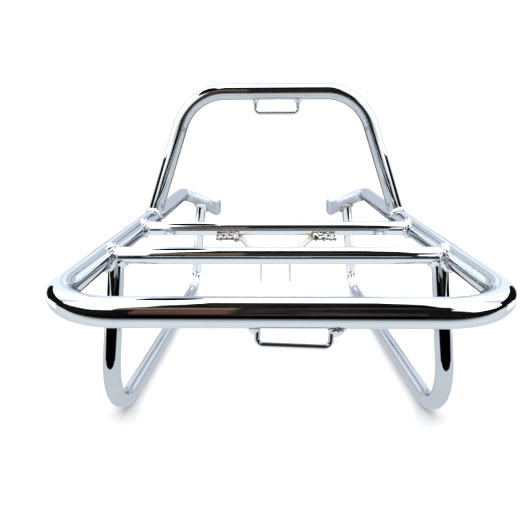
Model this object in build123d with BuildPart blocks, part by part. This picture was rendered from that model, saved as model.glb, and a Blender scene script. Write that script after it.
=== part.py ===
import os
from math import cos, sin, tan, radians
from build123d import *

os.makedirs("parts", exist_ok=True)

# ---------------------------------------------------------------- dimensions
# Millimetres. +Z up, +Y forward on the vehicle, +X right seen from the rear.
# Origin on the ground, in the middle of the length and of the width.
# The rack stands on the lower bars of its side loops and its platform then falls
# a little to the rear. Places below are on the platform: X, Y along the rails and
# Z square to them, with the rail centrelines at Z = 0.

# tube and bar stock
main_dia = 20.0          # frame tube
main_wall = 1.5
thin_dia = 16.0          # crossbars and side loops
thin_wall = 1.5
wire_dia = 4.0           # strap eyes
strap_thick = 3.0        # flat bar of the centre bracket
strap_wide = 25.0

# platform
length_rear_to_tab = 608.0               # whole length
rail_x = 154.0                           # rail centreline from the middle
deck_tilt = 1.57                         # fall of the platform to the rear, degrees
deck_height = 167.64                     # rail centrelines above the ground at mid-length
deck_shift = -0.37                       # brings the middle of the length to Y = 0
rear_y = -length_rear_to_tab / 2 + main_dia / 2   # rear bar centreline
corner_r = 52.0                          # rear corner bends
crossbar_rear_y = rear_y + 139.0
crossbar_front_y = rear_y + 259.0
vent_dia = 5.0                           # plating vents, hidden inside the crossbar ends

# forward arms and pressed ends
arm_y = rear_y + 566.0
arm_slope = 27.0                         # arms fall inwards, degrees
arm_r = 28.0
press_start_x = 128.5                    # tube is round as far in as this
press_end_x = 101.5                      # and fully flat here
press_high = 25.0
press_thick = 5.0
tab_bend_r = 4.5                         # centreline of the turned flat
tab_x = press_end_x - tab_bend_r         # mid-plane of the turned tab
tab_hole_dia = 10.5
tab_hole_back = 12.5                     # hole from the tab end

# front hoop
hoop_y = rear_y + 331.0                  # foot, on the rail centreline
hoop_dia = 18.0
hoop_wall = 1.5
hoop_rise = 150.4                        # top bar above the rails; the hoop stands square to them
hoop_top_x = 100.8                       # where leg and top bar lines cross
hoop_bend_r = 58.0
hoop_vent_dia = 6.5                      # plating vent under the top bar
hoop_vent_x = 3.0

# side loops
loop_top_x = 144.3                       # rear leg meets the crossbar and rail here
loop_rear_x = 153.7                      # foot of the rear leg, which leans to the rear
loop_rear_y = rear_y + 108.0
loop_front_x = 140.7                     # foot of the front leg
loop_rear_r = 54.0                       # bend at the foot of the rear leg
loop_front_r = 31.0                      # and of the front leg
loop_front_top_x = 125.2                 # front leg on the arm centreline
loop_trim = 4.0                          # top of the rear leg below the rail centreline

# strap eyes
front_eye_wide = 50.4                    # between wire centrelines
front_eye_drop = 24.4                    # bar centreline to lower wire centreline
front_eye_r = 5.5
front_eye_x = 1.6                        # off the middle
rear_eye_wide = 46.4
rear_eye_drop = 22.2
rear_eye_r = 4.0
rear_eye_x = 9.5
rear_eye_tilt = 2.2                      # a little crooked, degrees

# centre bracket
fork_gap = 30.0                          # between the upright tabs
strap_outer_x = 66.0                     # outer end of the level run
strap_knee_x = 40.0                      # level run turns down here
tab_bottom = 61.0                        # tab end below the crossbar centreline
fork_hole_dia = 8.5
fork_hole_up = 11.0                      # hole above the tab end
strap_r = 5.0                            # bend radius at the mid-line
strap_corner_r = 6.0                     # rounded corners of the tabs

# weld beads
bead = 3.0                               # leg of a bead
bead_start = 4.5                         # beads begin this far off the tube centreline
bracket_bead = 7.4                       # reach of the bracket welds from the contact line
bracket_bead_long = 23.0
spill_y = 14.0                           # the rear bracket welds reach this far back
spill_z = -10.4                          # and this far below the crossbar centreline
eye_bead = 4.4                           # radius of a front eye weld at the bar
eye_bead_left = 6.0                      # rear eye welds: radius, and how far they
eye_bead_left_out = 2.2                  # lie to the outside of the wire
eye_bead_right = 6.4
eye_bead_right_out = 2.8

# ---------------------------------------------------------------- derived
main_r = main_dia / 2
thin_r = thin_dia / 2
wire_r = wire_dia / 2
hoop_r = hoop_dia / 2
fall = tan(radians(arm_slope))
lean_sin, lean_cos = sin(radians(deck_tilt)), cos(radians(deck_tilt))
deck = Plane(origin=(0, deck_shift, deck_height), x_dir=(1, 0, 0), z_dir=(0, -lean_sin, lean_cos))


def on_deck(x, y, z):
    """A place on the platform."""
    return deck.from_local_coords(Vector(x, y, z))


def along_deck(x, y, z):
    """A direction on the platform."""
    return on_deck(x, y, z) - on_deck(0, 0, 0)


def deck_plane(origin, z_dir, x_dir=None):
    """A plane placed on the platform."""
    if x_dir is None:
        return Plane(origin=on_deck(*origin), z_dir=along_deck(*z_dir))
    return Plane(origin=on_deck(*origin), x_dir=along_deck(*x_dir), z_dir=along_deck(*z_dir))


def bar_z(y):
    """Centreline of a lower bar that lies on the ground, at this Y on the platform."""
    return (thin_r - deck_height - y * lean_sin) / lean_cos


press_start = (-press_start_x, arm_y, -(rail_x - press_start_x) * fall)
press_end_z = -(rail_x - press_end_x) * fall
tab_end_y = length_rear_to_tab / 2
tab_hole_y = tab_end_y - tab_hole_back
loop_front_top_z = -(rail_x - loop_front_top_x) * fall
strap_top_z = -thin_r                    # crossbar underside

press_edge_r = press_thick / 2 - 0.05
arm_axis = (cos(radians(arm_slope)), 0, -sin(radians(arm_slope)))
press_start_plane = deck_plane(press_start, arm_axis, (0, 1, 0))
press_end_plane = deck_plane((-press_end_x, arm_y, press_end_z), (1, 0, 0), (0, 1, 0))
bore_end_plane = deck_plane((-press_end_x - 5, arm_y, press_end_z + 5 * fall), (1, 0, 0), (0, 1, 0))
tab_root_plane = deck_plane((-tab_x, arm_y + tab_bend_r, press_end_z), (0, 1, 0), (1, 0, 0))
tab_hole_plane = deck_plane((-tab_x, tab_hole_y, press_end_z), (1, 0, 0), (0, 1, 0))
crossbar_rear_plane = deck_plane((0, crossbar_rear_y, 0), (1, 0, 0))
crossbar_front_plane = deck_plane((0, crossbar_front_y, 0), (1, 0, 0))
hoop_bar_plane = deck_plane((0, hoop_y, hoop_rise), (1, 0, 0))
hoop_vent_plane = deck_plane((hoop_vent_x, hoop_y, hoop_rise), (0, 0, -1))
rear_bar_plane = deck_plane((rear_eye_x, rear_y, 0), (1, 0, 0))
# each eye hangs square to the platform
eye_front_plane = deck_plane(
    (front_eye_x, hoop_y, hoop_rise), (0, -1, 0), (1, 0, 0)
)
eye_rear_plane = deck_plane(
    (rear_eye_x, rear_y, 0),
    (0, -1, 0),
    (cos(radians(rear_eye_tilt)), 0, -sin(radians(rear_eye_tilt))),
)
strap_side_plane = deck_plane((0, crossbar_front_y, 0), (0, -1, 0), (1, 0, 0))
fork_mid_x = fork_gap / 2 + strap_thick / 2
strap_mid_z = strap_top_z - strap_thick / 2
fork_hole_z = -tab_bottom + fork_hole_up
fork_hole_plane = deck_plane((0, crossbar_front_y, fork_hole_z), (1, 0, 0))
bracket_weld_plane = deck_plane((-strap_outer_x + 1, crossbar_front_y, 0), (1, 0, 0), (0, 1, 0))

frame_points = [
    press_start,
    (-rail_x, arm_y, 0),
    (-rail_x, rear_y, 0),
    (rail_x, rear_y, 0),
    (rail_x, arm_y, 0),
    (press_start_x, arm_y, press_start[2]),
]
frame_radii = [arm_r, corner_r, corner_r, arm_r]
loop_points = [
    (-loop_top_x, crossbar_rear_y, 0),
    (-loop_rear_x, loop_rear_y, bar_z(loop_rear_y)),
    (-loop_front_x, arm_y, bar_z(arm_y)),
    (-loop_front_top_x, arm_y, loop_front_top_z),
]
loop_rear_plane = Plane(
    origin=on_deck(*loop_points[0]), z_dir=on_deck(*loop_points[1]) - on_deck(*loop_points[0])
)
loop_front_plane = Plane(
    origin=on_deck(*loop_points[3]), z_dir=on_deck(*loop_points[2]) - on_deck(*loop_points[3])
)
loop_trim_plane = deck_plane((-loop_top_x, crossbar_rear_y, -loop_trim), (0, 0, 1))
hoop_foot = (-rail_x, hoop_y, 0)
hoop_foot_plane = deck_plane(
    hoop_foot, (rail_x - hoop_top_x, 0, hoop_rise)
)
bead_rear_plane = deck_plane((-rail_x + bead_start, crossbar_rear_y, 0), (1, 0, 0))
bead_front_plane = deck_plane((-rail_x + bead_start, crossbar_front_y, 0), (1, 0, 0))

# ---------------------------------------------------------------- envelopes
# Full outside shape of the frame tube, for coping the ends of what meets it,
# and the same grown by one bead, which bounds the welds on it.
with BuildPart() as frame_envelope:
    with BuildLine(deck) as envelope_path:
        FilletPolyline(*frame_points, radius=frame_radii)
    with BuildSketch(Plane(envelope_path.line @ 0, z_dir=envelope_path.line % 0)):
        Circle(main_r)
    sweep(path=envelope_path.line)

with BuildPart() as frame_bead_zone:
    with BuildLine(deck) as bead_path:
        FilletPolyline(*frame_points, radius=frame_radii)
    with BuildSketch(Plane(bead_path.line @ 0, z_dir=bead_path.line % 0)):
        Circle(main_r + bead)
    sweep(path=bead_path.line)

# Outside of the arm as it is pressed from round to flat, and the same grown by one bead.
with BuildPart() as pressed_outer:
    with BuildSketch(press_start_plane):
        Circle(main_r)
    with BuildSketch(press_end_plane):
        RectangleRounded(press_thick, press_high, press_edge_r)
    loft()

with BuildPart() as pressed_bead_zone:
    with BuildSketch(press_start_plane):
        Circle(main_r + bead)
    with BuildSketch(press_end_plane):
        RectangleRounded(press_thick + 2 * bead, press_high + 2 * bead, press_edge_r + bead)
    loft()

# ---------------------------------------------------------------- frame tube
# One arm end: the round tube is pressed flat, the flat is turned forward through
# a right angle and drilled for the mounting bolt.
with BuildPart() as pressed_end:
    add(pressed_outer.part)
    with BuildSketch(press_start_plane):
        Circle(main_r - main_wall)
    with BuildSketch(bore_end_plane):
        RectangleRounded(1.0, 15.0, 0.45)
    loft(mode=Mode.SUBTRACT)
    with BuildSketch(press_end_plane):
        RectangleRounded(press_thick, press_high, press_edge_r)
    revolve(
        axis=Axis(on_deck(-press_end_x, arm_y + tab_bend_r, press_end_z), along_deck(0, 0, 1)),
        revolution_arc=90,
    )
    with BuildSketch(tab_root_plane):
        RectangleRounded(press_thick, press_high, press_edge_r)
    extrude(amount=tab_end_y - arm_y - tab_bend_r)
    with BuildSketch(tab_hole_plane):
        with Locations((press_high / 2, 0)):
            Rectangle(press_high, press_high + 2)
        Circle(press_high / 2, mode=Mode.SUBTRACT)
    extrude(amount=press_thick, both=True, mode=Mode.SUBTRACT)
    with BuildSketch(tab_hole_plane):
        Circle(tab_hole_dia / 2)
    extrude(amount=press_thick, both=True, mode=Mode.SUBTRACT)

with BuildPart() as main_frame_tube:
    with BuildLine(deck) as frame_path:
        FilletPolyline(*frame_points, radius=frame_radii)
    with BuildSketch(Plane(frame_path.line @ 0, z_dir=frame_path.line % 0)):
        Circle(main_r)
        Circle(main_r - main_wall, mode=Mode.SUBTRACT)
    sweep(path=frame_path.line)
    add(pressed_end.part)
    mirror(pressed_end.part, about=Plane.YZ)
    # plating vents through the inner walls of the rails, hidden in the crossbar ends
    with BuildSketch(crossbar_rear_plane):
        Circle(vent_dia / 2)
    extrude(amount=rail_x, both=True, mode=Mode.SUBTRACT)
    with BuildSketch(crossbar_front_plane):
        Circle(vent_dia / 2)
    extrude(amount=rail_x, both=True, mode=Mode.SUBTRACT)
main_frame_tube.part.label = "main_frame_tube"
export_step(main_frame_tube.part, "parts/main_frame_tube.step")

# ---------------------------------------------------------------- crossbars
with BuildPart() as crossbar_rear:
    with BuildSketch(crossbar_rear_plane):
        Circle(thin_r)
        Circle(thin_r - thin_wall, mode=Mode.SUBTRACT)
    extrude(amount=rail_x, both=True)
    add(frame_envelope.part, mode=Mode.SUBTRACT)
crossbar_rear.part.label = "crossbar_rear"
export_step(crossbar_rear.part, "parts/crossbar_rear.step")

with BuildPart() as crossbar_front:
    with BuildSketch(crossbar_front_plane):
        Circle(thin_r)
        Circle(thin_r - thin_wall, mode=Mode.SUBTRACT)
    extrude(amount=rail_x, both=True)
    add(frame_envelope.part, mode=Mode.SUBTRACT)
crossbar_front.part.label = "crossbar_front"
export_step(crossbar_front.part, "parts/crossbar_front.step")

# ---------------------------------------------------------------- front hoop
with BuildPart() as front_hoop:
    with BuildLine(deck) as hoop_path:
        FilletPolyline(
            hoop_foot,
            (-hoop_top_x, hoop_y, hoop_rise),
            (hoop_top_x, hoop_y, hoop_rise),
            (rail_x, hoop_y, 0),
            radius=hoop_bend_r,
        )
    with BuildSketch(Plane(hoop_path.line @ 0, z_dir=hoop_path.line % 0)):
        Circle(hoop_r)
        Circle(hoop_r - hoop_wall, mode=Mode.SUBTRACT)
    sweep(path=hoop_path.line)
    add(frame_envelope.part, mode=Mode.SUBTRACT)
    with BuildSketch(hoop_vent_plane):
        Circle(hoop_vent_dia / 2)
    extrude(amount=thin_dia, mode=Mode.SUBTRACT)
front_hoop.part.label = "front_hoop"
export_step(front_hoop.part, "parts/front_hoop.step")

# ---------------------------------------------------------------- side loops
with BuildPart() as side_loop_left:
    with BuildLine(deck) as loop_path:
        FilletPolyline(*loop_points, radius=[loop_rear_r, loop_front_r])
    with BuildSketch(Plane(loop_path.line @ 0, z_dir=loop_path.line % 0)):
        Circle(thin_r)
        Circle(thin_r - thin_wall, mode=Mode.SUBTRACT)
    sweep(path=loop_path.line)
    # top of the rear leg: cut level, then coped to the rail and to the crossbar
    with BuildSketch(loop_trim_plane):
        Rectangle(4 * thin_dia, 4 * thin_dia)
    extrude(amount=3 * thin_dia, mode=Mode.SUBTRACT)
    with BuildSketch(crossbar_rear_plane):
        Circle(thin_r)
    extrude(amount=-rail_x, mode=Mode.SUBTRACT)
    add(frame_envelope.part, mode=Mode.SUBTRACT)
    add(pressed_outer.part, mode=Mode.SUBTRACT)
side_loop_left.part.label = "side_loop_left"
export_step(side_loop_left.part, "parts/side_loop_left.step")

with BuildPart() as side_loop_right:
    mirror(side_loop_left.part, about=Plane.YZ)
side_loop_right.part.label = "side_loop_right"
export_step(side_loop_right.part, "parts/side_loop_right.step")

# ---------------------------------------------------------------- strap eyes
with BuildPart() as strap_eye_front:
    with BuildLine(eye_front_plane) as eye_front_path:
        FilletPolyline(
            (-front_eye_wide / 2, 0),
            (-front_eye_wide / 2, -front_eye_drop),
            (front_eye_wide / 2, -front_eye_drop),
            (front_eye_wide / 2, 0),
            radius=front_eye_r,
        )
    with BuildSketch(Plane(eye_front_path.line @ 0, z_dir=eye_front_path.line % 0)):
        Circle(wire_r)
    sweep(path=eye_front_path.line)
    with BuildSketch(hoop_bar_plane):
        Circle(hoop_r)
    extrude(amount=front_eye_wide, both=True, mode=Mode.SUBTRACT)
strap_eye_front.part.label = "strap_eye_front"
export_step(strap_eye_front.part, "parts/strap_eye_front.step")

with BuildPart() as strap_eye_rear:
    with BuildLine(eye_rear_plane) as eye_rear_path:
        FilletPolyline(
            (-rear_eye_wide / 2, 0),
            (-rear_eye_wide / 2, -rear_eye_drop),
            (rear_eye_wide / 2, -rear_eye_drop),
            (rear_eye_wide / 2, 0),
            radius=rear_eye_r,
        )
    with BuildSketch(Plane(eye_rear_path.line @ 0, z_dir=eye_rear_path.line % 0)):
        Circle(wire_r)
    sweep(path=eye_rear_path.line)
    with BuildSketch(rear_bar_plane):
        Circle(main_r)
    extrude(amount=rear_eye_wide, both=True, mode=Mode.SUBTRACT)
strap_eye_rear.part.label = "strap_eye_rear"
export_step(strap_eye_rear.part, "parts/strap_eye_rear.step")

# ---------------------------------------------------------------- centre bracket
with BuildPart() as bracket_strap_left:
    with BuildSketch(strap_side_plane):
        with BuildLine() as strap_line:
            FilletPolyline(
                (-strap_outer_x, strap_mid_z),
                (-strap_knee_x, strap_mid_z),
                (-fork_mid_x, strap_mid_z - (strap_knee_x - fork_mid_x)),
                (-fork_mid_x, -tab_bottom),
                radius=strap_r,
            )
        trace(line_width=strap_thick)
    extrude(amount=strap_wide / 2, both=True)
    fillet(
        bracket_strap_left.edges()
        .filter_by(Axis.X)
        .filter_by(lambda e: deck.to_local_coords(e.center()).Z < -tab_bottom + 0.1),
        radius=strap_corner_r,
    )
    with BuildSketch(fork_hole_plane):
        Circle(fork_hole_dia / 2)
    extrude(amount=-2 * fork_mid_x, mode=Mode.SUBTRACT)
bracket_strap_left.part.label = "bracket_strap_left"
export_step(bracket_strap_left.part, "parts/bracket_strap_left.step")

with BuildPart() as bracket_strap_right:
    mirror(bracket_strap_left.part, about=Plane.YZ)
bracket_strap_right.part.label = "bracket_strap_right"
export_step(bracket_strap_right.part, "parts/bracket_strap_right.step")

# ---------------------------------------------------------------- weld beads
with BuildPart() as weld_side_loop_rear_left:
    # zone within one bead of the crossbar or of the rail
    with BuildSketch(crossbar_rear_plane):
        Circle(thin_r + bead)
    extrude(amount=-rail_x)
    add(frame_bead_zone.part)
    with BuildSketch(loop_rear_plane.offset(bead_start)):
        Circle(thin_r + bead)
    extrude(amount=main_dia, mode=Mode.INTERSECT)
    add(frame_envelope.part, mode=Mode.SUBTRACT)
    with BuildSketch(crossbar_rear_plane):
        Circle(thin_r)
    extrude(amount=-rail_x, mode=Mode.SUBTRACT)
    with BuildSketch(loop_rear_plane):
        Circle(thin_r)
    extrude(amount=2 * main_dia, mode=Mode.SUBTRACT)
weld_side_loop_rear_left.part.label = "weld_side_loop_rear_left"
export_step(weld_side_loop_rear_left.part, "parts/weld_side_loop_rear_left.step")

with BuildPart() as weld_side_loop_rear_right:
    mirror(weld_side_loop_rear_left.part, about=Plane.YZ)
weld_side_loop_rear_right.part.label = "weld_side_loop_rear_right"
export_step(weld_side_loop_rear_right.part, "parts/weld_side_loop_rear_right.step")

with BuildPart() as weld_crossbar_rear_left:
    with BuildSketch(bead_rear_plane):
        Circle(thin_r + bead)
    extrude(amount=main_dia)
    add(frame_bead_zone.part, mode=Mode.INTERSECT)
    add(frame_envelope.part, mode=Mode.SUBTRACT)
    with BuildSketch(crossbar_rear_plane):
        Circle(thin_r)
    extrude(amount=-rail_x, mode=Mode.SUBTRACT)
    # clear of the side loop's rear leg and of the weld around it
    with BuildSketch(loop_rear_plane):
        Circle(thin_r)
    extrude(amount=main_dia, mode=Mode.SUBTRACT)
    add(weld_side_loop_rear_left.part, mode=Mode.SUBTRACT)
weld_crossbar_rear_left.part.label = "weld_crossbar_rear_left"
export_step(weld_crossbar_rear_left.part, "parts/weld_crossbar_rear_left.step")

with BuildPart() as weld_crossbar_rear_right:
    mirror(weld_crossbar_rear_left.part, about=Plane.YZ)
weld_crossbar_rear_right.part.label = "weld_crossbar_rear_right"
export_step(weld_crossbar_rear_right.part, "parts/weld_crossbar_rear_right.step")

with BuildPart() as weld_crossbar_front_left:
    with BuildSketch(bead_front_plane):
        Circle(thin_r + bead)
    extrude(amount=main_dia)
    add(frame_bead_zone.part, mode=Mode.INTERSECT)
    add(frame_envelope.part, mode=Mode.SUBTRACT)
    with BuildSketch(crossbar_front_plane):
        Circle(thin_r)
    extrude(amount=-rail_x, mode=Mode.SUBTRACT)
weld_crossbar_front_left.part.label = "weld_crossbar_front_left"
export_step(weld_crossbar_front_left.part, "parts/weld_crossbar_front_left.step")

with BuildPart() as weld_crossbar_front_right:
    mirror(weld_crossbar_front_left.part, about=Plane.YZ)
weld_crossbar_front_right.part.label = "weld_crossbar_front_right"
export_step(weld_crossbar_front_right.part, "parts/weld_crossbar_front_right.step")

with BuildPart() as weld_hoop_left:
    with BuildSketch(hoop_foot_plane.offset(bead_start)):
        Circle(hoop_r + bead)
    extrude(amount=main_dia)
    add(frame_bead_zone.part, mode=Mode.INTERSECT)
    add(frame_envelope.part, mode=Mode.SUBTRACT)
    with BuildSketch(hoop_foot_plane):
        Circle(hoop_r)
    extrude(amount=2 * main_dia, mode=Mode.SUBTRACT)
weld_hoop_left.part.label = "weld_hoop_left"
export_step(weld_hoop_left.part, "parts/weld_hoop_left.step")

with BuildPart() as weld_hoop_right:
    mirror(weld_hoop_left.part, about=Plane.YZ)
weld_hoop_right.part.label = "weld_hoop_right"
export_step(weld_hoop_right.part, "parts/weld_hoop_right.step")

with BuildPart() as weld_side_loop_front_left:
    # zone within one bead of the arm
    add(frame_bead_zone.part)
    add(pressed_bead_zone.part)
    with BuildSketch(loop_front_plane.offset(bead_start)):
        Circle(thin_r + bead)
    extrude(amount=main_dia, mode=Mode.INTERSECT)
    add(frame_envelope.part, mode=Mode.SUBTRACT)
    add(pressed_outer.part, mode=Mode.SUBTRACT)
    with BuildSketch(loop_front_plane):
        Circle(thin_r)
    extrude(amount=2 * main_dia, mode=Mode.SUBTRACT)
weld_side_loop_front_left.part.label = "weld_side_loop_front_left"
export_step(weld_side_loop_front_left.part, "parts/weld_side_loop_front_left.step")

with BuildPart() as weld_side_loop_front_right:
    mirror(weld_side_loop_front_left.part, about=Plane.YZ)
weld_side_loop_front_right.part.label = "weld_side_loop_front_right"
export_step(weld_side_loop_front_right.part, "parts/weld_side_loop_front_right.step")

with BuildPart() as weld_bracket_left_front:
    with BuildSketch(bracket_weld_plane):
        with BuildLine():
            Line((0, -thin_r), (bracket_bead, -thin_r))
            ThreePointArc((bracket_bead, -thin_r), (bracket_bead + 0.6, -5.6), (7.2, -3.4))
            Line((7.2, -3.4), (0, -3.4))
            Line((0, -3.4), (0, -thin_r))
        make_face()
        Circle(thin_r, mode=Mode.SUBTRACT)
    extrude(amount=bracket_bead_long)
weld_bracket_left_front.part.label = "weld_bracket_left_front"
export_step(weld_bracket_left_front.part, "parts/weld_bracket_left_front.step")

with BuildPart() as weld_bracket_left_rear:
    # heavier: it spills over the edge of the flat bar
    with BuildSketch(bracket_weld_plane):
        with BuildLine():
            Polyline((0, -3.4), (0, -thin_r), (-strap_wide / 2, -thin_r), (-strap_wide / 2, spill_z), (-spill_y, spill_z))
            ThreePointArc((-spill_y, spill_z), (-spill_y - 0.5, -8.2), (-spill_y + 1.4, -6.2))
            ThreePointArc((-spill_y + 1.4, -6.2), (-9.6, -5.2), (-7.2, -3.4))
            Line((-7.2, -3.4), (0, -3.4))
        make_face()
        Circle(thin_r, mode=Mode.SUBTRACT)
    extrude(amount=bracket_bead_long)
weld_bracket_left_rear.part.label = "weld_bracket_left_rear"
export_step(weld_bracket_left_rear.part, "parts/weld_bracket_left_rear.step")

with BuildPart() as weld_bracket_right_front:
    mirror(weld_bracket_left_front.part, about=Plane.YZ)
weld_bracket_right_front.part.label = "weld_bracket_right_front"
export_step(weld_bracket_right_front.part, "parts/weld_bracket_right_front.step")

with BuildPart() as weld_bracket_right_rear:
    mirror(weld_bracket_left_rear.part, about=Plane.YZ)
weld_bracket_right_rear.part.label = "weld_bracket_right_rear"
export_step(weld_bracket_right_rear.part, "parts/weld_bracket_right_rear.step")

with BuildPart() as weld_eye_front_right:
    with BuildSketch(eye_front_plane):
        with Locations((front_eye_wide / 2, 0)):
            Polygon((0, 0), (0, -hoop_r - 4), (wire_r + 0.4, -hoop_r - 4), (eye_bead, -hoop_r + 1), (eye_bead, 0), align=None)
    revolve(axis=Axis(eye_front_plane.from_local_coords((front_eye_wide / 2, 0, 0)), eye_front_plane.y_dir))
    with BuildSketch(hoop_bar_plane):
        Circle(hoop_r)
    extrude(amount=2 * front_eye_wide, both=True, mode=Mode.SUBTRACT)
    with BuildSketch(Plane(eye_front_plane.from_local_coords((front_eye_wide / 2, 0, 0)), z_dir=eye_front_plane.y_dir)):
        Circle(wire_r)
    extrude(amount=front_eye_drop, both=True, mode=Mode.SUBTRACT)
weld_eye_front_right.part.label = "weld_eye_front_right"
export_step(weld_eye_front_right.part, "parts/weld_eye_front_right.step")

with BuildPart() as weld_eye_front_left:
    mirror(weld_eye_front_right.part, about=Plane(origin=eye_front_plane.origin, z_dir=eye_front_plane.x_dir))
weld_eye_front_left.part.label = "weld_eye_front_left"
export_step(weld_eye_front_left.part, "parts/weld_eye_front_left.step")

with BuildPart() as weld_eye_rear_right:
    with BuildSketch(eye_rear_plane):
        with Locations((rear_eye_wide / 2 + eye_bead_right_out, 0)):
            Polygon((0, 0), (0, -main_r - 5), (0.8, -main_r - 5), (eye_bead_right, -main_r + 1), (eye_bead_right, 0), align=None)
    revolve(
        axis=Axis(
            eye_rear_plane.from_local_coords((rear_eye_wide / 2 + eye_bead_right_out, 0, 0)), eye_rear_plane.y_dir
        )
    )
    with BuildSketch(rear_bar_plane):
        Circle(main_r)
    extrude(amount=2 * rear_eye_wide, both=True, mode=Mode.SUBTRACT)
    with BuildSketch(Plane(eye_rear_plane.from_local_coords((rear_eye_wide / 2, 0, 0)), z_dir=eye_rear_plane.y_dir)):
        Circle(wire_r)
    extrude(amount=rear_eye_drop, both=True, mode=Mode.SUBTRACT)
weld_eye_rear_right.part.label = "weld_eye_rear_right"
export_step(weld_eye_rear_right.part, "parts/weld_eye_rear_right.step")

with BuildPart() as weld_eye_rear_left:
    with BuildSketch(eye_rear_plane):
        with Locations((-rear_eye_wide / 2 - eye_bead_left_out, 0)):
            Polygon((0, 0), (0, -main_r - 5), (0.8, -main_r - 5), (eye_bead_left, -main_r + 1), (eye_bead_left, 0), align=None)
    revolve(
        axis=Axis(
            eye_rear_plane.from_local_coords((-rear_eye_wide / 2 - eye_bead_left_out, 0, 0)), eye_rear_plane.y_dir
        )
    )
    with BuildSketch(rear_bar_plane):
        Circle(main_r)
    extrude(amount=2 * rear_eye_wide, both=True, mode=Mode.SUBTRACT)
    with BuildSketch(Plane(eye_rear_plane.from_local_coords((-rear_eye_wide / 2, 0, 0)), z_dir=eye_rear_plane.y_dir)):
        Circle(wire_r)
    extrude(amount=rear_eye_drop, both=True, mode=Mode.SUBTRACT)
weld_eye_rear_left.part.label = "weld_eye_rear_left"
export_step(weld_eye_rear_left.part, "parts/weld_eye_rear_left.step")
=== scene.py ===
import math

import bmesh
import bpy
import numpy as np
from mathutils import Matrix, Vector, noise
from mathutils.bvhtree import BVHTree


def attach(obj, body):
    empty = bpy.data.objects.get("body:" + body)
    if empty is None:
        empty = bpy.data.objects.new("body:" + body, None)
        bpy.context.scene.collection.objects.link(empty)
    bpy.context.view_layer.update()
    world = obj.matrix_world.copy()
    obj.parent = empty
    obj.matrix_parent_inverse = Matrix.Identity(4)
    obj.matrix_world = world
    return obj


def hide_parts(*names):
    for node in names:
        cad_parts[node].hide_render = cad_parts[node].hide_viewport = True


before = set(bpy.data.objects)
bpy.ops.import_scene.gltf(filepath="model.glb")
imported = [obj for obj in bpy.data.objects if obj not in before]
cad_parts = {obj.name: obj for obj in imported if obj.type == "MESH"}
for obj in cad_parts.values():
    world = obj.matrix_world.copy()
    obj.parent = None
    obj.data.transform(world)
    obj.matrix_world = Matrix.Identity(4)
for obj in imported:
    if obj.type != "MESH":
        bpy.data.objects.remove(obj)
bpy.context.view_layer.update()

scene = bpy.context.scene


# ------------------------------------------------------------------ materials
class Nodes:
    """A short way to write a node tree."""

    def __init__(self, tree):
        self.t = tree
        tree.nodes.clear()

    def add(self, kind, **values):
        n = self.t.nodes.new(kind)
        for k, v in values.items():
            setattr(n, k, v)
        return n

    def link(self, a, b):
        self.t.links.new(a, b)

    def noise(self, where, scale, detail=2.0, rough=0.5):
        n = self.add("ShaderNodeTexNoise")
        n.inputs["Scale"].default_value = scale
        n.inputs["Detail"].default_value = detail
        n.inputs["Roughness"].default_value = rough
        self.link(where, n.inputs["Vector"])
        return n.outputs["Fac"]

    def ramp(self, fac, stops):
        n = self.add("ShaderNodeValToRGB")
        e = n.color_ramp.elements
        while len(e) > 1:
            e.remove(e[-1])
        for i, (p, c) in enumerate(stops):
            s = e[0] if i == 0 else e.new(p)
            s.position = p
            s.color = (*c, 1.0)
        self.link(fac, n.inputs["Fac"])
        return n.outputs["Color"]

    def range(self, v, a, b, c, d):
        n = self.add("ShaderNodeMapRange")
        n.clamp = True
        for k, x in zip(("From Min", "From Max", "To Min", "To Max"), (a, b, c, d)):
            n.inputs[k].default_value = x
        self.link(v, n.inputs["Value"])
        return n.outputs["Result"]

    def math(self, op, a, b=None):
        n = self.add("ShaderNodeMath", operation=op)
        for i, x in enumerate((a, b)):
            if x is None:
                continue
            if isinstance(x, (int, float)):
                n.inputs[i].default_value = x
            else:
                self.link(x, n.inputs[i])
        return n.outputs[0]

    def split(self, v):
        n = self.add("ShaderNodeSeparateXYZ")
        self.link(v, n.inputs[0])
        return n.outputs[0], n.outputs[1], n.outputs[2]

    def mix(self, fac, a, b):
        n = self.add("ShaderNodeMix", data_type="RGBA")
        self.link(fac, n.inputs["Factor"])
        for s, x in (("A", a), ("B", b)):
            sock = [q for q in n.inputs if q.name == s and q.type == "RGBA"][0]
            if isinstance(x, tuple):
                sock.default_value = (*x, 1.0)
            else:
                self.link(x, sock)
        return [q for q in n.outputs if q.type == "RGBA"][0]


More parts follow.
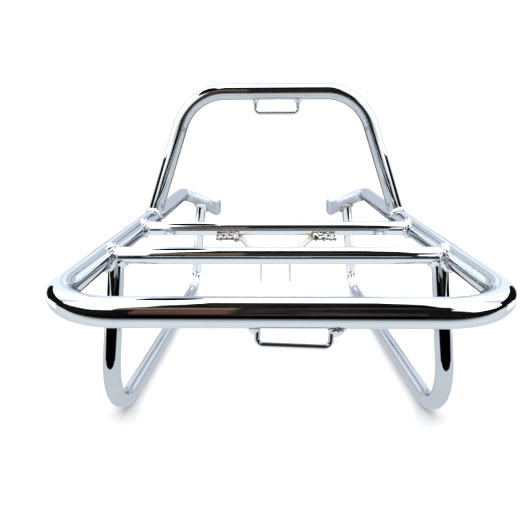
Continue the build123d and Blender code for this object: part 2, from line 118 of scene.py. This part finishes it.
def chrome(name, low, high, edge, rough_low, rough_high, wave=0.0, grain=0.0, metal=1.0, pressed=False, heat=None, bright=None):
    m = bpy.data.materials.new(name)
    m.use_nodes = True
    k = Nodes(m.node_tree)
    out = k.add("ShaderNodeOutputMaterial")
    b = k.add("ShaderNodeBsdfPrincipled")
    b.inputs["Metallic"].default_value = metal
    b.inputs["Specular Tint"].default_value = (*edge, 1.0)
    where = k.add("ShaderNodeTexCoord").outputs["Object"]
    haze = k.noise(where, 16.0, 3.0, 0.6)
    colour = k.ramp(haze, [(0.3, low), (0.7, high)])
    rough = k.range(haze, 0.35, 0.65, rough_low, rough_high)
    if heat:
        # straw colour left by the heat of welding, in patches
        patch = k.range(k.noise(where, heat[0], 2.0, 0.6), heat[1], heat[1] + (0.30 if len(heat) > 2 else 0.12), 0.0, 1.0)
        if len(heat) > 2:
            x = k.math("ABSOLUTE", k.split(where)[0])
            patch = k.math("MULTIPLY", patch, k.range(x, heat[2], heat[3], 0.0, 1.0))
        colour = k.mix(patch, colour, (0.62, 0.50, 0.31))
    if pressed:
        # the pressed ends of the arms are duller than the round tube
        x, y, z = k.split(where)
        dull = k.math("MULTIPLY", k.range(y, 0.246, 0.262, 0.0, 1.0), k.range(k.math("ABSOLUTE", x), 0.152, 0.140, 0.0, 1.0))
        rough = k.math("MAXIMUM", rough, k.math("MULTIPLY", dull, k.range(haze, 0.3, 0.7, 0.34, 0.46)))
        colour = k.mix(dull, colour, (0.31, 0.34, 0.375))
        k.link(k.range(dull, 0.0, 1.0, metal, 0.35), b.inputs["Metallic"])
    if bright:
        # painted light: the darker, shaded chrome is lifted to a lighter colour on the legs under the arms
        colour = k.mix(k.range(k.split(where)[1], 0.225, 0.255, 0.0, 1.0), colour, bright)
    k.link(colour, b.inputs["Base Color"])
    k.link(rough, b.inputs["Roughness"])
    height = None
    if wave:
        height = k.math("MULTIPLY", k.noise(where, 30.0, 1.0, 0.4), wave)
    if grain:
        fine = k.math("MULTIPLY", k.noise(where, 700.0, 2.0, 0.5), grain)
        height = fine if height is None else k.math("ADD", height, fine)
    if height is not None:
        bump = k.add("ShaderNodeBump")
        bump.inputs["Strength"].default_value = 1.0
        bump.inputs["Distance"].default_value = 0.001
        k.link(height, bump.inputs["Height"])
        k.link(bump.outputs["Normal"], b.inputs["Normal"])
    k.link(b.outputs["BSDF"], out.inputs["Surface"])
    return m


EDGE = (0.74, 0.75, 0.79)
TUBE = ((0.575, 0.615, 0.635), (0.605, 0.645, 0.665), EDGE, 0.02, 0.04, 0.012)
# painted light: the crossbars and other plain tubes get a lighter copy of the frame's chrome, so they mirror brighter
tube_chrome = chrome("chrome_tube", (0.615, 0.655, 0.675), (0.645, 0.685, 0.705), *TUBE[2:])
# painted shade: the hoop and side loops get a darker copy of the tube chrome, standing in for the shade they mirror
# near the floor and under the rack
shaded_chrome = chrome("chrome_painted_shade", (0.455, 0.485, 0.505), (0.495, 0.525, 0.545), EDGE, 0.02, 0.045, 0.012, bright=(0.70, 0.72, 0.74))
frame_chrome = chrome("chrome_frame", *TUBE, pressed=True)
wire_chrome = chrome("chrome_wire", (0.55, 0.57, 0.60), (0.62, 0.64, 0.66), EDGE, 0.06, 0.12, 0.0, 0.01)
strap_plate = chrome("plated_strap", (0.78, 0.77, 0.75), (0.84, 0.84, 0.83), EDGE, 0.34, 0.46, 0.0, 0.02, 0.45, heat=(90.0, 0.36, 0.026, 0.040))
weld_plate = chrome("weld_bead", (0.60, 0.62, 0.64), (0.68, 0.70, 0.72), EDGE, 0.05, 0.12, 0.0, 0.02)
weld_heat = chrome("weld_bead_heated", (0.27, 0.27, 0.27), (0.36, 0.36, 0.36), EDGE, 0.10, 0.20, 0.0, 0.02, heat=(260.0, 0.56))

for name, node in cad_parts.items():
    if name.startswith("weld"):
        mat = weld_plate
    elif name.startswith("strap_eye"):
        mat = wire_chrome
    elif name.startswith("bracket"):
        mat = strap_plate
    elif name == "main_frame_tube":
        mat = frame_chrome
    # the hoop and side loops take the darker chrome copy with painted shade
    elif name.startswith(("front_hoop", "side_loop")):
        mat = shaded_chrome
    else:
        mat = tube_chrome
    for s in node.material_slots:
        s.material = mat

# ------------------------------------------------------------------ welds
# Each bead is laid by hand: beside the plain bead of the CAD node it has the
# ripples and blobs of metal that stand on it.
solid_co, solid_tri = [], []
for name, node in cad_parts.items():
    if name.startswith("weld"):
        continue
    base = len(solid_co)
    solid_co += [v.co.copy() for v in node.data.vertices]
    solid_tri += [[base + i for i in p.vertices] for p in node.data.polygons]
tubes = BVHTree.FromPolygons(solid_co, solid_tri)


def lumpy_bead(node_name, seed, size, spacing, material, voxel=0.0005, sunk=0.0):
    rng = np.random.default_rng(seed)
    bm = bmesh.new()
    bm.from_mesh(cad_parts[node_name].data)
    bmesh.ops.remove_doubles(bm, verts=bm.verts[:], dist=2e-6)
    bmesh.ops.triangulate(bm, faces=bm.faces[:])
    tri = [[v.co.copy() for v in f.verts] for f in bm.faces]
    nor = [f.normal.copy() for f in bm.faces]
    area = np.array([f.calc_area() for f in bm.faces])
    picked = rng.choice(len(tri), size=1500, p=area / area.sum())
    spots = []
    for i in picked:
        u, v = rng.random(), rng.random()
        if u + v > 1:
            u, v = 1 - u, 1 - v
        a, b, c = tri[i]
        at = a + (b - a) * u + (c - a) * v
        near = tubes.find_nearest(at)
        if near[0] is not None and near[3] < 3.5e-4:
            continue
        if any((at - q).length < spacing for q, n in spots):
            continue
        spots.append((at, nor[i]))
    for j, (at, n) in enumerate(spots):
        r = size * (0.75 + 0.5 * rng.random()) * (1.35 if j % 5 == 0 else 1.0)
        bmesh.ops.create_icosphere(bm, subdivisions=2, radius=r, matrix=Matrix.Translation(at - n * (0.45 * r)))
    raw = bpy.data.meshes.new("raw")
    bm.to_mesh(raw)
    bm.free()
    shaper = bpy.data.objects.new("shaper", raw)
    scene.collection.objects.link(shaper)
    skin = shaper.modifiers.new("skin", "REMESH")
    skin.mode = "VOXEL"
    skin.voxel_size = voxel
    soft = shaper.modifiers.new("soft", "SMOOTH")
    soft.factor = 0.5
    soft.iterations = 3
    ready = shaper.evaluated_get(bpy.context.evaluated_depsgraph_get())
    me = bpy.data.meshes.new_from_object(ready)
    bpy.data.objects.remove(shaper)
    bpy.data.meshes.remove(raw)
    me.name = "bead_" + node_name[5:]
    out = [v.co + v.normal * (0.00022 + 0.00016 * noise.noise(v.co * 620.0)) for v in me.vertices]
    if sunk:
        # a bead that lies low on the tubes
        out = [p.lerp(tubes.find_nearest(p)[0], sunk) for p in out]
    me.vertices.foreach_set("co", [x for p in out for x in p])
    me.shade_smooth()
    me.materials.clear()
    me.materials.append(material)
    me.update()
    o = bpy.data.objects.new(me.name, me)
    scene.collection.objects.link(o)
    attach(o, "root")
    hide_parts(node_name)
    return o


for i, name in enumerate(sorted(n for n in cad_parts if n.startswith("weld"))):
    if "bracket" in name:
        lumpy_bead(name, 40 + i, 0.0021, 0.0042, weld_heat)
    elif "eye" in name:
        lumpy_bead(name, 40 + i, 0.0010, 0.0022, weld_plate, 0.0004)
    elif name == "weld_side_loop_front_right":
        lumpy_bead(name, 40 + i, 0.0014, 0.0029, weld_heat)
    elif "hoop" in name:
        lumpy_bead(name, 40 + i, 0.0012, 0.0030, weld_plate, sunk=0.35)
    elif "side_loop_rear" in name:
        lumpy_bead(name, 40 + i, 0.0012, 0.0030, weld_plate, sunk=0.60)
    else:
        lumpy_bead(name, 40 + i, 0.0014, 0.0029, weld_plate)

# ------------------------------------------------------------------ floor
def plane(name, corners, material):
    me = bpy.data.meshes.new(name)
    me.from_pydata(corners, [], [list(range(len(corners)))])
    me.materials.append(material)
    o = bpy.data.objects.new(name, me)
    scene.collection.objects.link(o)
    return o


def pale_paper(name, low, high):
    m = bpy.data.materials.new(name)
    m.use_nodes = True
    k = Nodes(m.node_tree)
    out = k.add("ShaderNodeOutputMaterial")
    b = k.add("ShaderNodeBsdfPrincipled")
    b.inputs["Roughness"].default_value = 0.9
    b.inputs["Specular IOR Level"].default_value = 0.0
    where = k.add("ShaderNodeTexCoord").outputs["Object"]
    fibre = k.noise(where, 60.0, 3.0)
    near = k.ramp(fibre, [(0.3, (low,) * 3), (0.7, (low + 0.02,) * 3)])
    far = k.ramp(fibre, [(0.3, (high,) * 3), (0.7, (high + 0.02,) * 3)])
    k.link(k.mix(k.range(k.split(where)[1], 0.15, 0.80, 0.0, 1.0), near, far), b.inputs["Base Color"])
    k.link(b.outputs["BSDF"], out.inputs["Surface"])
    return m


def glowing_paper_painted_shade(name, low, high):
    """What the chrome mirrors below it: paper painted as a glow instead of lit by the lamps, with painted shade that
    darkens it far off and where it falls away.
    """
    m = bpy.data.materials.new(name)
    m.use_nodes = True
    k = Nodes(m.node_tree)
    out = k.add("ShaderNodeOutputMaterial")
    b = k.add("ShaderNodeEmission")
    where = k.add("ShaderNodeTexCoord").outputs["Object"]
    k.link(k.ramp(k.noise(where, 60.0, 3.0), [(0.3, low), (0.7, high)]), b.inputs["Color"])
    x, y, z = k.split(where)
    # painted shade: the glow fades far off and down where the sheet falls away
    fade = k.range(y, 0.32, 0.54, 1.0, 0.15)
    k.link(k.math("MULTIPLY", fade, k.range(z, -0.30, -0.02, 0.25, 1.14)), b.inputs["Strength"])
    k.link(b.outputs[0], out.inputs["Surface"])
    return m


def sheet(name, quads, z, material):
    me = bpy.data.meshes.new(name)
    co, faces = [], []
    for q in quads:
        faces.append([len(co) + i for i in range(4)])
        co += [(x, y, h + z) for x, y, h in q]
    me.from_pydata(co, [], faces)
    me.materials.append(material)
    o = bpy.data.objects.new(name, me)
    scene.collection.objects.link(o)
    return o


def flat(x0, x1, y0, y1, h0=0.0, h1=0.0):
    return [(x0, y0, h0), (x1, y0, h0), (x1, y1, h1), (x0, y1, h1)]


# White paper on a table. It falls away over the near edge of the table. The
# sheet that the chrome mirrors has the same shape and reaches further out.
floor = sheet(
    "floor",
    [flat(-0.62, 0.62, -0.62, -0.34, -0.14), flat(-0.62, 0.62, -0.34, 1.1)],
    0.0,
    pale_paper("floor_paper", 0.47, 0.86),
)
floor.visible_glossy = False
# the mirrored sheet is a painted glow with painted shade, not paper lit by the lamps
mirrored = sheet(
    "floor_mirrored",
    [flat(-3.0, 3.0, -2.94, -0.34, -1.30), flat(-3.0, 3.0, -0.34, 2.0)],
    0.0002,
    glowing_paper_painted_shade("floor_mirrored_glow_painted_shade", (0.96, 0.985, 1.02), (0.98, 1.005, 1.04)),
)
mirrored.visible_camera = mirrored.visible_diffuse = mirrored.visible_shadow = False

# ------------------------------------------------------------------ light
# A light tent: bright roof and sides, open at the back, where dark flags hang.
world = bpy.data.worlds.new("studio")
scene.world = world
world.use_nodes = True
k = Nodes(world.node_tree)
out = k.add("ShaderNodeOutputWorld")
bg = k.add("ShaderNodeBackground")
sep = k.add("ShaderNodeSeparateXYZ")
k.link(k.add("ShaderNodeTexCoord").outputs["Generated"], sep.inputs[0])
front = k.range(sep.outputs["Y"], -0.10, 0.15, 0.0, 1.0)
above = k.range(sep.outputs["Z"], 0.02, 0.14, 0.0, 1.0)
back = k.mix(above, (0.001, 0.001, 0.0015), (1.85, 1.87, 1.90))
tent = k.mix(front, back, (0.96, 1.00, 1.10))
seen = k.add("ShaderNodeLightPath").outputs["Is Camera Ray"]
k.link(k.mix(seen, tent, (1.05, 1.05, 1.05)), bg.inputs["Color"])
k.link(bg.outputs[0], out.inputs[0])


def soft_light(name, centre, look, up, width, height, radiance, colour=(1, 1, 1)):
    d = bpy.data.lights.new(name, "AREA")
    d.shape = "RECTANGLE"
    d.size, d.size_y = width, height
    d.energy = radiance * math.pi * width * height
    d.color = colour
    o = bpy.data.objects.new(name, d)
    z = -Vector(look).normalized()
    x = Vector(up).cross(z).normalized()
    y = z.cross(x)
    o.matrix_world = Matrix.Translation(centre) @ Matrix((x, y, z)).transposed().to_4x4()
    o.visible_camera = False
    scene.collection.objects.link(o)
    return o


soft_light("ceiling_light", (0, 0.03, 0.83), (0, 0, -1), (0, 1, 0), 1.5, 0.74, 2.6)
for side, x in (("left", -0.62), ("right", 0.62)):
    soft_light(side + "_light", (x, 0.50, 0.42), (-x, 0, 0), (0, 0, 1), 0.70, 0.82, 0.60, (0.97, 0.99, 1.0))
    soft_light(side + "_near_light", (x, -0.01, 0.42), (-x, 0, 0), (0, 0, 1), 0.32, 0.82, 1.8, (0.97, 0.99, 1.0))
    soft_light(side + "_back_light", (x, -0.485, 0.25), (-x, 0, 0), (0, 0, 1), 0.43, 0.18, 1.4)
    soft_light(side + "_corner_light", (math.copysign(0.455, x), -0.70, 0.22), (0, 1, 0), (0, 0, 1), 0.30, 0.18, 1.4)
    far = soft_light(side + "_far_light", (x, 1.65, 0.87), (-x, 0, 0), (0, 0, 1), 1.3, 0.84, 0.56, (0.97, 0.99, 1.03))
    far.visible_diffuse = False
fill = soft_light("floor_fill", (0, 0.5, 1.4), (0, 0, -1), (0, 1, 0), 2.4, 2.4, 0.9)
fill.visible_glossy = False

def flag_cloth(name, stops, warm=False):
    m = bpy.data.materials.new(name)
    m.use_nodes = True
    k = Nodes(m.node_tree)
    out = k.add("ShaderNodeOutputMaterial")
    b = k.add("ShaderNodeBsdfPrincipled")
    b.inputs["Roughness"].default_value = 1.0
    b.inputs["Specular IOR Level"].default_value = 0.0
    where = k.add("ShaderNodeTexCoord").outputs["Object"]
    weave = k.noise(where, 5.0, 2.0)
    colour = k.ramp(weave, stops)
    if warm:
        # the left half is a brown cloth with a paler hem
        x, y, z = k.split(where)
        part = k.math("MULTIPLY", k.range(x, -0.072, -0.056, 1.0, 0.0), k.range(z, 0.17, 0.23, 0.0, 1.0))
        part = k.math("MULTIPLY", part, k.range(z, 0.60, 0.66, 1.0, 0.0))
        hem = k.math("MULTIPLY", part, k.range(z, 0.49, 0.54, 0.0, 1.0))
        colour = k.mix(k.math("MULTIPLY", part, k.range(weave, 0.3, 0.6, 0.6, 1.0)), colour, (0.125, 0.052, 0.040))
        colour = k.mix(hem, colour, (0.17, 0.175, 0.09))
    k.link(colour, b.inputs["Base Color"])
    k.link(b.outputs["BSDF"], out.inputs["Surface"])
    return m


cloth = flag_cloth("flag_cloth", [(0.35, (0.004, 0.004, 0.004)), (0.52, (0.014, 0.011, 0.010)), (0.70, (0.048, 0.038, 0.034))], warm=True)
velvet = flag_cloth("flag_velvet", [(0.35, (0.002, 0.002, 0.002)), (0.65, (0.007, 0.006, 0.006))])
BACK = [(-0.243, 0.13), (0.271, 0.13), (0.30, 0.40), (0.40, 0.58), (0.36, 0.829), (-0.27, 0.829), (-0.285, 0.63), (-0.265, 0.48)]
ROOF = [(-0.27, -0.71), (0.36, -0.71), (0.33, -0.60), (0.29, -0.45), (0.20, -0.275), (-0.12, -0.275), (-0.17, -0.46), (-0.23, -0.57)]
SIDE = [(-0.27, 0.175), (-0.05, 0.14), (0.04, 0.09), (0.26, 0.09), (0.26, 0.345), (-0.27, 0.345)]
# narrow strips that stand close round the near corners: X, Y, foot, top
STRIP_LEFT = [(-0.128, -0.428, 0.105, 0.255), (-0.165, -0.412, 0.112, 0.238), (-0.211, -0.387, 0.128, 0.222), (-0.268, -0.319, 0.150, 0.215), (-0.285, -0.265, 0.155, 0.210)]
STRIP_RIGHT = [(0.128, -0.428, 0.105, 0.255), (0.165, -0.412, 0.112, 0.238), (0.211, -0.387, 0.125, 0.192), (0.268, -0.319, 0.148, 0.188), (0.285, -0.265, 0.155, 0.200)]


def strip(name, posts):
    me = bpy.data.meshes.new(name)
    n = len(posts)
    me.from_pydata(
        [(x, y, lo) for x, y, lo, hi in posts] + [(x, y, hi) for x, y, lo, hi in posts],
        [],
        [(i, i + 1, n + i + 1, n + i) for i in range(n - 1)],
    )
    me.materials.append(velvet)
    o = bpy.data.objects.new(name, me)
    scene.collection.objects.link(o)
    return o


flags = [
    plane("flag_back", [(x, -0.71, z) for x, z in BACK], cloth),
    plane("flag_roof", [(x, y, 0.829) for x, y in ROOF], cloth),
    plane("flag_left", [(-0.60, y, z) for y, z in SIDE], velvet),
    plane("flag_right", [(0.60, y, z) for y, z in SIDE], velvet),
    strip("flag_corner_left", STRIP_LEFT),
    strip("flag_corner_right", STRIP_RIGHT),
    plane(
        "flag_small",
        [(-0.134 + 0.043 * math.cos(t), -0.09 + 0.115 * math.sin(t), 0.43) for t in np.linspace(0, 2 * math.pi, 40, endpoint=False)],
        velvet,
    ),
]
for o in flags:
    o.visible_camera = o.visible_shadow = o.visible_diffuse = False

# ------------------------------------------------------------------ camera
cam = bpy.data.cameras.new("camera")
cam.sensor_width = 36.0
cam.lens = 496.64 * 36.0 / 520.0
cam.clip_start = 0.01
co = bpy.data.objects.new("camera", cam)
scene.collection.objects.link(co)
right = Vector((0.999804, 0.019349, -0.004102)).normalized()
forward = Vector((-0.019770, 0.971531, -0.236084)).normalized()
up = right.cross(forward).normalized()
co.matrix_world = Matrix.Translation((-0.00647, -0.58608, 0.26401)) @ Matrix((right, up, -forward)).transposed().to_4x4()
scene.camera = co
scene.view_settings.view_transform = "Standard"
scene.view_settings.look = "None"
